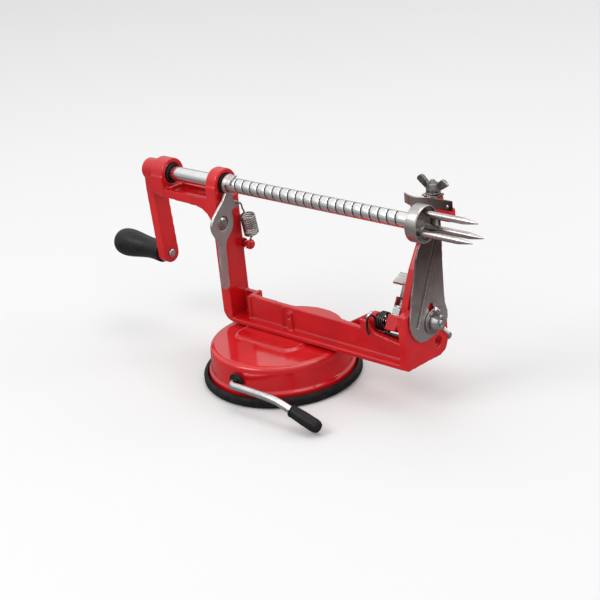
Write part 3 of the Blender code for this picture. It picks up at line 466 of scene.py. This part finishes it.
def bevelled_box(name, centre, axes, half, edge, node, mat, stands_for=False):
    c, ax = Vector(centre), [Vector(a).normalized() for a in axes]
    bm = bmesh.new()
    bmesh.ops.create_cube(bm, size=2.0)
    for v in bm.verts:
        v.co = (c + ax[0] * v.co.x * half[0] + ax[1] * v.co.y * half[1]
                + ax[2] * v.co.z * half[2]) * MM
    bmesh.ops.bevel(bm, geom=list(bm.edges), offset=edge * MM, segments=3, profile=0.5,
                    affect="EDGES")
    bmesh.ops.recalc_face_normals(bm, faces=bm.faces)
    mesh = bpy.data.meshes.new(name)
    bm.to_mesh(mesh)
    bm.free()
    return put(name, mesh, node, mat, 50, stands_for=stands_for)


# ---------------------------------------------------------------------------
# Red castings
# ---------------------------------------------------------------------------
SHAFT = (0.0, 8.0, 120.0)
cast("frame_casting", RED, 0.5, 7)
cast("crank_arm", RED, 0.42, 6)
cast("peeler_arm", RED, 0.42, 6)

# ---------------------------------------------------------------------------
# Suction base: pressed dome with a raised pad, rubber cup, lever
# ---------------------------------------------------------------------------


def dome():
    top = rounded([(0.0, 25.0), (42.0, 24.9), (45.0, 24.0), (45.5, 21.0), (46.0, 9.4),
                   (47.6, 8.2), (47.8, 3.0)], [0, 0, 2.6, 1.5, 1.2, 0.9, 0], 6)
    line = []
    for (r0, z0), (r1, z1) in zip(top, top[1:]):
        steps = max(1, int(hypot(r1 - r0, z1 - z0) / 0.8))
        line += [(r0 + (r1 - r0) * k / steps, z0 + (z1 - z0) * k / steps) for k in range(steps)]
    line += [top[-1], (46.2, 3.0), (46.2, 6.8), (44.2, 9.6), (43.4, 22.0), (42.0, 23.2), (0.0, 23.2)]
    n = 224
    verts, faces, m = [], [], len(line)
    cx, cy, hx, hy, rad = -3.5, 0.9, 25.4, 16.4, 9.0
    for i in range(n):
        a = 2 * pi * i / n
        for r, z in line:
            x, y = r * cos(a), r * sin(a)
            if z > 24.0:
                qx, qy = abs(x - cx) - hx + rad, abs(y - cy) - hy + rad
                d = hypot(max(qx, 0), max(qy, 0)) + min(max(qx, qy), 0) - rad
                t = min(max((1.1 - d) / 2.2, 0.0), 1.0)
                z += 1.15 * t * t * (3 - 2 * t) * min(1.0, (43.5 - r) / 2.0 if r < 43.5 else 0)
            verts.append((x, y, z))
    for i in range(n):
        k = (i + 1) % n
        for j in range(m):
            l = (j + 1) % m
            if line[j][0] <= 0 and line[l][0] <= 0:
                continue
            faces.append([i * m + j, i * m + l, k * m + l, k * m + j])
    return mesh_of("dome", verts, faces)


put("base_dome_fine", dome(), "base_dome", RED_DEEP, 50)
turned("suction_cup_fine", [(0, 0.0), (50.2, 0.0), (51.5, 1.4), (51.5, 4.7), (50.6, 6.3),
                            (49.0, 6.4), (48.4, 5.4), (48.2, 2.5), (0, 2.5)], (0, 0, 0), (0, 0, 1),
       "suction_cup", RUBBER, 192, soft=0.8)
for i, x in enumerate((-22.0, -6.0)):
    t = 29.7
    turned("base_screw_%d_fine" % (i + 1),
           [(0, 20.4), (1.75, 20.6), (1.75, t), (3.1, t), (3.0, t + 0.9), (2.0, t + 1.75),
            (0.9, t + 1.9), (0.8, t + 1.3), (0, t + 1.25)], (x, 13.6, 0), (0, 0, 1),
           "base_screw_%d" % (i + 1), NUT, 40, soft=0.2)
turned("lever_bush_fine", [(2.8, -43.0), (4.0, -43.0), (4.0, -46.6), (5.2, -46.6), (5.2, -48.0),
                           (4.6, -48.0), (4.4, -47.6), (3.4, -47.6), (3.1, -48.0), (2.8, -48.0)],
       (4.0, 0, 15.0), (0, 1, 0), "lever_bush", BUSH, 64, soft=0.25)

elbow = [(8.0 - 4.0 * cos(radians(k)), -48.8 - 4.0 * sin(radians(k)), 15.0)
         for k in range(0, 91, 9)]
run = smooth_path([(14.0, -52.8, 15.0), (24.0, -52.8, 15.0), (34.0, -52.8, 14.88),
                   (42.0, -52.8, 14.2), (48.0, -52.8, 12.85), (54.0, -52.8, 11.12),
                   (61.0, -52.8, 9.1), (66.6, -52.8, 7.5)], 6)
rod_path = [(4.0, 6.0, 15.0), (4.0, -20.0, 15.0), (4.0, -40.0, 15.0), (4.0, -46.0, 15.0)] + elbow + run
put("suction_lever_rod_fine", swept("lever_rod", rod_path, 2.5, 40), "suction_lever_rod", CHROME, 60)
cap_a, cap_b = Vector((54.0, -52.8, 11.12)), Vector((75.5, -52.8, 4.9))
turned("suction_lever_cap_fine",
       [(2.6, 0.1), (3.5, 0.0), (4.0, 0.5), (4.05, 1.4), (3.75, 2.0), (3.9, 3.2), (4.15, 9.0),
        (4.2, 18.2), (3.95, 20.2), (3.1, 21.7), (1.6, 22.3), (0.0, 22.4), (0.0, 15.0), (2.6, 14.6)],
       cap_a, cap_b - cap_a, "suction_lever_cap", VINYL, 64, soft=0.5)

# ---------------------------------------------------------------------------
# Feed screw, bushes, fork, crank pin and grip
# ---------------------------------------------------------------------------


def feed_screw(sides=72):
    lead, x0, x1, r0, depth = 6.35, -34.0, 101.0, 4.75, 0.72
    shape = [(0.0, 0.0), (1.10, 0.0), (1.26, 0.10), (1.42, 0.46), (1.62, 0.88), (1.9, 1.0),
             (2.18, 0.88), (2.38, 0.46), (2.54, 0.10), (2.70, 0.0), (4.6, 0.0)]
    per, turns = len(shape), int((x1 - x0) / lead) + 3
    verts, index = [], []
    for i in range(sides):
        a = 2 * pi * i / sides
        head = [(-112.6, 0.0), (-112.6, 3.7), (-112.4, 4.2), (-112.0, 4.6), (-111.5, r0), (-70.0, r0)]
        tail = [(107.4, r0), (107.7, 4.4), (107.7, 0.0)]
        helix = []
        for k in range(-1, turns):
            for dx, deep in shape:
                x = x0 + lead * (k + i / sides) + dx
                ease = min(max((x - x0) / 3.0, 0.0), 1.0) * min(max((x1 - x) / 3.0, 0.0), 1.0)
                helix.append((min(max(x, x0), x1), r0 - depth * deep * ease))
        rows = []
        for part in (head, helix, tail):
            ids = []
            for x, r in part:
                ids.append(len(verts))
                verts.append((x, 8.0 + r * cos(a), 120.0 + r * sin(a)))
            rows.append(ids)
        index.append(rows)
    faces = []
    for i in range(sides):
        here, there = index[i], index[(i + 1) % sides]
        shift = per if i == sides - 1 else 0
        for part in (0, 2):
            for j in range(len(here[part]) - 1):
                faces.append([here[part][j], here[part][j + 1], there[part][j + 1], there[part][j]])
        faces.append([here[0][-1], here[1][0], there[1][0], there[0][-1]])
        faces.append([here[1][-1], here[2][0], there[2][0], there[1][-1]])
        last = len(here[1]) - 1
        for j in range(last):
            p, q = min(j + shift, last), min(j + 1 + shift, last)
            faces.append([here[1][j], here[1][j + 1], there[1][q], there[1][p]])
    return mesh_of("feed_screw", verts, faces)


put("feed_screw_fine", feed_screw(), "feed_screw", rod_plating_groove_shade("plated_rod"), 40)
for node, a, b in (("bush_left", -100.3, -89.4), ("bush_right", -49.6, -41.2)):
    turned(node + "_fine", [(5.0, a + 0.3), (6.5, a + 0.3), (6.5, b + 0.9), (5.0, b + 0.9)],
           SHAFT, (1, 0, 0), node, BUSH, 96, soft=0.35)
turned("fork_hub_fine", [(0, 108.0), (8.4, 108.0), (9.2, 108.8), (9.2, 112.6), (8.5, 113.5),
                         (3.4, 113.5), (2.9, 113.0), (0, 112.8)], SHAFT, (1, 0, 0), "fork_hub",
       HUB, 96, soft=0.35)
for i, ang in enumerate((85.0, -37.0, 208.0)):
    y, z = 8.0 + 6.5 * cos(radians(ang)), 120.0 + 6.5 * sin(radians(ang))
    turned("prong_%d_fine" % (i + 1), [(0, 109.8), (2.0, 109.8), (2.0, 142.0), (1.86, 143.2),
                                       (1.2, 147.6), (0.45, 151.6), (0.16, 152.35), (0, 152.5)],
           (0, y, z), (1, 0, 0), "prong_%d" % (i + 1), PRONG, 48, soft=0.4, angle=60)

PIN = (0.0, 11.4, 58.7)
turned("handle_pin_fine", [(0, -103.95), (1.3, -103.98), (2.3, -104.2), (2.9, -104.75),
                           (2.5, -104.9), (2.5, -151.6), (2.1, -151.9), (0, -151.9)],
       PIN, (1, 0, 0), "handle_pin", CHROME, 48, soft=0.15, angle=60)


def grip():
    key = [(7.0, -112.45), (7.6, -112.7), (7.85, -113.6), (7.6, -116.4), (7.2, -120.6),
           (7.2, -125.6), (7.75, -131.2), (8.6, -137.2), (9.35, -142.8), (9.68, -147.4),
           (9.4, -151.4), (8.3, -154.6), (6.2, -156.9), (3.3, -157.85), (0.0, -158.0)]
    curve = smooth_path([(r, t, 0) for r, t in key], 5)
    prof = [(2.8, -112.45)] + [(max(p.x, 0.0), p.y) for p in curve]
    prof[-1] = (0.0, -158.0)
    return prof + [(0.0, -152.6), (2.8, -152.4)]


turned("handle_grip_fine", grip(), PIN, (1, 0, 0), "handle_grip", BLACK, 96, angle=50)

# ---------------------------------------------------------------------------
# Release lever group
# ---------------------------------------------------------------------------
cast("release_lever", LEVER, 0.26, 2)
turned("release_pivot_screw_fine", [(0, -42.4), (2.0, -42.4), (2.0, -40.0), (4.4, -40.0),
                                    (4.4, -37.6), (3.9, -36.8), (2.6, -36.2), (0, -36.0)],
       (0, -2.9, 97.3), (1, 0, 0), "release_pivot_screw", NUT, 64, soft=0.35, angle=60)
turned("spring_anchor_fine", [(0, -44.2), (2.0, -44.2), (2.0, -36.2), (3.3, -35.9), (3.4, -34.8),
                              (2.9, -33.7), (1.6, -33.1), (0, -33.0)],
       (0, 17.8, 76.0), (1, 0, 0), "spring_anchor", RED, 48, soft=0.35, angle=60)


def coil(p0, p1, radius, turns, steps, start=0.0):
    a, b = Vector(p0), Vector(p1)
    w = (b - a).normalized()
    u = w.orthogonal().normalized()
    v = w.cross(u)
    n = int(turns * steps)
    return [a + (b - a) * (i / n) + (u * cos(start + 2 * pi * i / steps)
                                     + v * sin(start + 2 * pi * i / steps)) * radius
            for i in range(n + 1)]


SX = -34.6
body = coil((SX, 17.4, 96.6), (SX, 19.6, 83.4), 4.5, 9, 28)
hook_top = smooth_path([(-35.4, 11.2, 107.0), (-34.9, 12.1, 106.9), (SX, 13.2, 105.0),
                        (SX, 13.7, 102.4), (SX, 14.8, 99.4), tuple(body[0])], 6)[:-1]
hook_low = smooth_path([tuple(body[-1]), (SX, 19.6, 81.6), (-36.4, 20.5, 79.9), (-37.4, 20.8, 77.8),
                        (-37.6, 20.3, 75.0), (-37.6, 18.6, 73.2), (-37.6, 16.4, 73.6)], 6)[1:]
put("release_spring_fine", swept("rs", hook_top + body + hook_low, 0.55, 12), "release_spring",
    WIRE, 60)

# ---------------------------------------------------------------------------
# Peeling arm group
# ---------------------------------------------------------------------------
LEAN = radians(30.0)
e0 = Vector((1.0, 0.0, 0.0))
e1 = Vector((0.0, sin(LEAN), cos(LEAN)))
e2 = Vector((0.0, -cos(LEAN), sin(LEAN)))
PIVOT = Vector((0.0, 15.5, 47.0))
turned("arm_pivot_pin_fine", [(0, 63.0), (3.4, 63.0), (4.0, 63.6), (4.0, 65.6), (2.5, 65.6),
                              (2.5, 100.4), (2.0, 101.0), (0, 101.0)], tuple(PIVOT), (1, 0, 0),
       "arm_pivot_pin", CHROME, 64, soft=0.25)
turns = [(71.6 + 5.6 * i / 98, 15.5 + 5.4 * cos(radians(150) + 2 * pi * i / 28),
          47.0 + 5.4 * sin(radians(150) + 2 * pi * i / 28)) for i in range(99)]
leg_a = smooth_path([(70.6, 4.5, 41.4), (69.6, 4.6, 43.6), (69.4, 4.7, 47.2), (70.0, 4.9, 51.0),
                     (70.8, 6.3, 53.0), (71.3, 8.2, 52.9), turns[0]], 6)[:-1]
# the long leg runs along X under the block in near-black wire and also stands in for the shade under
# the block
leg_b = smooth_path([turns[-1], (77.3, 19.4, 42.0), (77.35, 16.6, 40.5), (77.5, 12.8, 40.4),
                     (79.6, 11.0, 41.8), (91.2, 11.0, 41.8)], 6)[1:]
put("torsion_spring_fine", swept("ts", leg_a + [Vector(t) for t in turns] + leg_b, 0.68, 12),
    "torsion_spring", BLACK_WIRE, 60)
cast("peeling_blade", PEEL, 0.22, 2)
cast("blade_wing_nut", NUT_DARK_REFLECTION, 0.24, 6)


def threaded(r, pitch, t0, t1, depth=0.14):
    out, t = [], t0
    while t + pitch <= t1:
        out += [(r - depth, t), (r, t + pitch * 0.5)]
        t += pitch
    return out + [(r - depth, t)]


turned("blade_stud_fine", [(0, 111.4), (1.9, 111.4), (1.9, 123.5)] + threaded(1.9, 0.7, 124.0, 131.2)
       + [(1.5, 132.0), (0, 132.0)], (95.6, 44.2, 0), (0, 0, 1), "blade_stud", NUT, 40, angle=25)
turned("blade_washer_fine", [(2.3, 123.9), (4.6, 123.9), (4.6, 124.8), (2.3, 124.8)],
       (95.6, 44.2, 0), (0, 0, 1), "blade_washer", STEEL, 64, soft=0.2)

latch_o = PIVOT + Vector((84.4, 0, 0)) + e2 * 0.4


def along(t, u=0.0, v=0.0):
    return latch_o + e1 * t + e0 * u + e2 * v


def hex_nut(name, t0, t1, across, node):
    verts, faces, rows = [], [], []
    prof = [(0.86, t0), (1.0, t0 + 0.5), (1.0, t1 - 0.5), (0.86, t1)]
    for s, t in prof:
        rows.append(len(verts))
        for i in range(24):
            a = 2 * pi * i / 24
            hexr = across * cos(pi / 6) / cos((a % (pi / 3)) - pi / 6)
            r = hexr if s == 1.0 else min(hexr, across * 0.90)
            verts.append(tuple(along(t, r * cos(a), r * sin(a))))
    rows.append(len(verts))
    for t in (t1, t0):
        for i in range(24):
            a = 2 * pi * i / 24
            verts.append(tuple(along(t, 2.1 * cos(a), 2.1 * sin(a))))
    order = [0, 1, 2, 3, 4, 5]
    base = [0, 24, 48, 72, 96, 120]
    for r in range(6):
        p, q = base[r], base[(r + 1) % 6]
        for i in range(24):
            k = (i + 1) % 24
            faces.append([p + i, p + k, q + k, q + i])
    return put(name, mesh_of(name, verts, faces), node, CHROME, 25)


hex_nut("latch_nut_fine", 5.2, 9.4, 5.1, "latch_nut")
turned("latch_stud_fine", [(0, 5.2), (1.7, 5.2), (1.8, 9.0)] + threaded(1.8, 0.7, 9.6, 14.0, 0.13)
       + [(1.3, 14.7), (0, 14.7)], tuple(latch_o), tuple(e1), "latch_stud", NUT, 40, angle=25)
turned("arm_latch_ring", [(2.1, 9.8), (4.2, 9.8), (4.2, 11.0), (2.1, 11.0)], tuple(latch_o),
       tuple(e1), "arm_latch", STEEL, 64, soft=0.2)
bevelled_box("arm_latch_strip", along(18.1, -3.0, -3.2), (e0, e1, e2), (1.9, 7.8, 0.6), 0.2,
             "arm_latch", DARK_STEEL)
bevelled_box("arm_latch_ear", along(13.3, -3.6, 0.1), (e0, e1, e2), (0.5, 3.1, 1.9), 0.2,
             "arm_latch", RED_ENAMEL_SHADED)
fore = Vector((0, 0.93, 0.37))
bevelled_box("arm_latch_tab", along(27.5, -6.5, -5.2), (e0, fore, fore.cross(e0)),
             (5.3, 4.3, 0.55), 0.35, "arm_latch", STEEL)

# ---------------------------------------------------------------------------
# Slicing and coring blade
# ---------------------------------------------------------------------------
outline = rounded([
    (2.0, 53.9), (2.0, 59.2), (4.0, 66.5), (5.2, 74.1), (7.7, 81.0), (9.6, 88.1), (11.3, 94.9),
    (14.4, 100.3), (17.0, 103.4), (18.1, 107.0), (18.1, 117.0), (22.0, 118.0), (32.4, 115.2),
    (37.1, 113.0), (37.1, 98.0), (36.4, 83.4), (36.3, 66.0), (36.9, 57.6), (39.0, 51.5),
    (38.6, 46.7), (34.5, 42.9), (27.0, 41.0), (16.4, 40.2), (10.7, 41.5), (6.1, 45.4),
    (3.2, 49.6)], 2.4, 5, closed=True)
slit = [(6.9, 52.4), (9.2, 51.5), (33.6, 104.8), (31.4, 105.8)]
slot = ([(24.3 + 2.9 * cos(radians(t)), 50.6 + 2.9 * sin(radians(t))) for t in range(180, 361, 10)]
        + [(22.6 + 2.5 * cos(radians(t)), 60.4 + 2.5 * sin(radians(t))) for t in range(0, 181, 10)])


def sheet_blade():
    """The pressed plate: a voxel remesh, then the embossed triangle is pushed out."""
    mesh = remeshed(prism("sp", [outline, slit, slot], "X", 104.0, 105.3), 0.30, 2, "slicer_plate")
    co = np.zeros(len(mesh.vertices) * 3)
    mesh.vertices.foreach_get("co", co)
    co = co.reshape(-1, 3)
    y, z = co[:, 1] / MM, co[:, 2] / MM
    tri = np.array([(27.6, 86.0), (17.2, 60.4), (34.4, 55.6)])
    c = tri.mean(0)
    d = np.full(len(co), -1e9)
    for k in range(3):
        a, b = tri[k], tri[(k + 1) % 3]
        nrm = np.array([b[1] - a[1], a[0] - b[0]])
        nrm = nrm / np.linalg.norm(nrm)
        if (c - a) @ nrm > 0:
            nrm = -nrm
        d = np.maximum(d, (y - a[0]) * nrm[0] + (z - a[1]) * nrm[1])
    t = np.clip((0.2 - d) / 1.6, 0, 1)
    hole = np.minimum(np.hypot(y - 24.0, z - 52.0), np.hypot(y - 22.6, z - 60.4))
    t = t * np.clip((hole - 3.2) / 2.0, 0, 1)
    co[:, 0] += (t * t * (3 - 2 * t)) * 0.75 * MM
    mesh.vertices.foreach_set("co", co.ravel())
    return mesh


put("slicer_plate_fine", sheet_blade(), "slicer_blade", SHEET_PAINTED_REFLECTION)
# a dark strip inside the slit: partly the bent cutting lip, partly painted shade that closes the slit
put("slicer_slit_lip_shade", prism("sl", [slit], "X", 104.12, 104.55), "slicer_blade", DARK_STEEL, 50,
    stands_for=False)
turned("corer_ring_fine", [(10.1, 109.5), (11.3, 109.5), (11.3, 116.2), (10.9, 117.0), (10.5, 117.0),
                           (10.1, 116.0)], SHAFT, (1, 0, 0), "slicer_blade", STEEL, 128, soft=0.12,
       angle=30, stands_for=False)
bevelled_box("corer_tongue_fine", (110.6, 18.7, 114.0), ((1, 0, 0), (0, 1, 0), (0, 0, 1)),
             (6.2, 0.55, 3.2), 0.15, "slicer_blade", STEEL)
turned("slicer_bolt_fine", [(0, 98.2), (4.3, 98.2), (4.3, 100.7), (2.1, 100.7), (2.1, 108.5)]
       + threaded(2.1, 0.8, 108.8, 111.8) + [(1.6, 112.2), (0, 112.2)], (0, 23.6, 50.8), (1, 0, 0),
       "slicer_bolt", CHROME, 48, angle=25)
turned("slicer_washer_fine", [(2.5, 105.6), (8.2, 105.6), (8.2, 106.7), (2.5, 106.7)],
       (0, 23.6, 50.8), (1, 0, 0), "slicer_washer", STEEL, 96, soft=0.25)
cast("slicer_wing_nut", CHROME, 0.24, 7)

# Small hidden pieces keep their CAD shape and get their finish
for node, mat in (("suction_cam", STEEL), ("suction_plunger", STEEL), ("crank_grub_screw", NUT)):
    NODES[node].data.materials.clear()
    NODES[node].data.materials.append(mat)
    mod = NODES[node].modifiers.new("edge", "BEVEL")
    mod.width = 0.00012
    mod.segments = 2
    mod.limit_method = "ANGLE"
    mod.angle_limit = radians(40)

# ---------------------------------------------------------------------------
# Studio: floor, lights, camera
# ---------------------------------------------------------------------------
floor_mesh = bpy.data.meshes.new("studio_floor")
floor_mesh.from_pydata([(-6, -6, 0), (6, -6, 0), (6, 6, 0), (-6, 6, 0)], [], [(0, 1, 2, 3)])
k = Look("pale_floor", 0.75, 0.0, Specular_IOR_Level=0.2)
k.colour(k.ramp(k.noise(2.0, 2), [(0.2, (0.77, 0.77, 0.77)), (0.8, (0.79, 0.79, 0.79))]))
floor_mesh.materials.append(k.normal(k.bump(k.noise(500, 2), 0.0001, 0.03)))
floor = bpy.data.objects.new("studio_floor", floor_mesh)
floor.location = (0, 0, -0.0002)
bpy.context.scene.collection.objects.link(floor)

world = bpy.data.worlds.new("studio")
bpy.context.scene.world = world
world.use_nodes = True
wt = world.node_tree
bg = wt.nodes["Background"]
gen = wt.nodes.new("ShaderNodeTexCoord")
sky = wt.nodes.new("ShaderNodeSeparateXYZ")
fade = wt.nodes.new("ShaderNodeValToRGB")
fade.color_ramp.elements[0].position, fade.color_ramp.elements[0].color = 0.10, (0.42, 0.42, 0.43, 1)
fade.color_ramp.elements[1].position, fade.color_ramp.elements[1].color = 0.62, (1.0, 1.0, 1.0, 1)
wt.links.new(gen.outputs["Generated"], sky.inputs[0])
wt.links.new(sky.outputs["Z"], fade.inputs["Fac"])
wt.links.new(fade.outputs["Color"], bg.inputs["Color"])
bg.inputs["Strength"].default_value = 0.93
bpy.context.scene.view_settings.view_transform = "Standard"


def dark_card(name, corners):
    """A dark board seen only in reflections, for contrast on the metal."""
    mesh = bpy.data.meshes.new(name)
    mesh.from_pydata(corners, [], [(0, 1, 2, 3)])
    k = Look(name, 0.8, 0.0, Specular_IOR_Level=0.0)
    k.colour(k.ramp(k.noise(3.0, 3), [(0.3, (0.14, 0.125, 0.125)), (0.7, (0.24, 0.215, 0.215))]))
    mesh.materials.append(k.normal(k.bump(k.noise(300, 2), 0.0001, 0.03)))
    ob = bpy.data.objects.new(name, mesh)
    bpy.context.scene.collection.objects.link(ob)
    for ray in ("camera", "diffuse", "shadow", "transmission", "volume_scatter"):
        setattr(ob, "visible_" + ray, False)
    return ob


dark_card("card_low", [(-1.6, -1.6, -0.0001), (1.6, -1.6, -0.0001), (1.6, 1.6, -0.0001),
                       (-1.6, 1.6, -0.0001)])
dark_card("card_back", [(1.6, -0.4, 0.0), (1.6, 1.9, 0.0), (1.6, 1.9, 0.62), (1.6, -0.4, 0.62)])


def area(name, at, to, size, power, colour=(1, 1, 1)):
    light = bpy.data.lights.new(name, "AREA")
    light.shape = "RECTANGLE"
    light.size, light.size_y = size
    light.energy = power
    light.color = colour
    ob = bpy.data.objects.new(name, light)
    ob.location = at
    ob.rotation_euler = (Vector(to) - Vector(at)).to_track_quat("-Z", "Y").to_euler()
    bpy.context.scene.collection.objects.link(ob)
    return ob


area("key", (-0.55, -1.10, 1.35), (0, 0, 0.05), (0.9, 0.7), 9.5)
area("top", (0.10, 0.35, 1.6), (0, 0, 0.05), (1.2, 0.8), 5)
area("rim", (1.1, 0.9, 0.7), (0, 0, 0.08), (0.5, 0.9), 3)

f_px, e, az, roll = 1413.09, radians(23.6), radians(43.19), radians(-5.8)
fwd = Vector((-sin(az) * cos(e), cos(az) * cos(e), -sin(e)))
right = Vector((cos(az), sin(az), 0.0))
up = right.cross(fwd)
cx = right * cos(roll) + up * sin(roll)
cy = up * cos(roll) - right * sin(roll)
cam_data = bpy.data.cameras.new("camera")
cam_data.sensor_width = 36.0
cam_data.lens = f_px / 600.0 * 36.0
cam = bpy.data.objects.new("camera", cam_data)
cam.matrix_world = Matrix((( cx.x, cy.x, -fwd.x, 0.5735), (cx.y, cy.y, -fwd.y, -0.58897),
                           (cx.z, cy.z, -fwd.z, 0.40822), (0, 0, 0, 1)))
cam_data.clip_start, cam_data.clip_end = 0.01, 50
bpy.context.scene.collection.objects.link(cam)
bpy.context.scene.camera = cam
